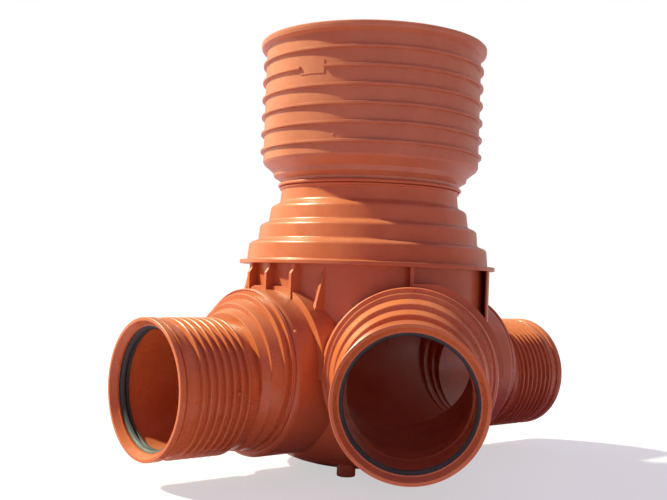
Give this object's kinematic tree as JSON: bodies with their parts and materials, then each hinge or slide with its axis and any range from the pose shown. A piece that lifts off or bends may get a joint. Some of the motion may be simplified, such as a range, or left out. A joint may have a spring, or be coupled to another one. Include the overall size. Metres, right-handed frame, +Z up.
{
  "type": "drain inspection chamber",
  "caption": "Plastic drain inspection chamber with a dished base, an outlet, two stepped inlets with sealed pipe sockets, a stepped cone and a ribbed riser socket",
  "frame": {"origin": "on the chamber's vertical axis, level with the underside of its feet", "axes": "+Z is up along the riser; the main run lies along X with the left inlet at -X and the outlet at +X; the side inlet leaves towards -X-Y"},
  "size_m": [0.946, 0.7157, 0.788],
  "materials": {
    "base": "smooth moulded polypropylene, light gloss",
    "cone": "smooth moulded polypropylene, light gloss",
    "riser_socket": "smooth moulded polypropylene, light gloss",
    "riser_seal": "smooth moulded rubber",
    "left_reducer": "smooth moulded polypropylene, light gloss",
    "left_socket": "smooth moulded polypropylene, light gloss",
    "left_seal": "smooth moulded rubber",
    "front_reducer": "smooth moulded polypropylene, light gloss",
    "front_socket": "smooth moulded polypropylene, light gloss",
    "front_seal": "smooth moulded rubber",
    "right_reducer": "smooth moulded polypropylene, light gloss",
    "right_socket": "smooth moulded polypropylene, light gloss",
    "right_seal": "smooth moulded rubber"
  },
  "bodies": {
    "root": {"base": "base", "cone": "cone", "riser_socket": "riser_socket", "riser_seal": "riser_seal", "left_reducer": "left_reducer", "left_socket": "left_socket", "left_seal": "left_seal", "front_reducer": "front_reducer", "front_socket": "front_socket", "front_seal": "front_seal", "right_reducer": "right_reducer", "right_socket": "right_socket", "right_seal": "right_seal"}
  },
  "joints": []
}
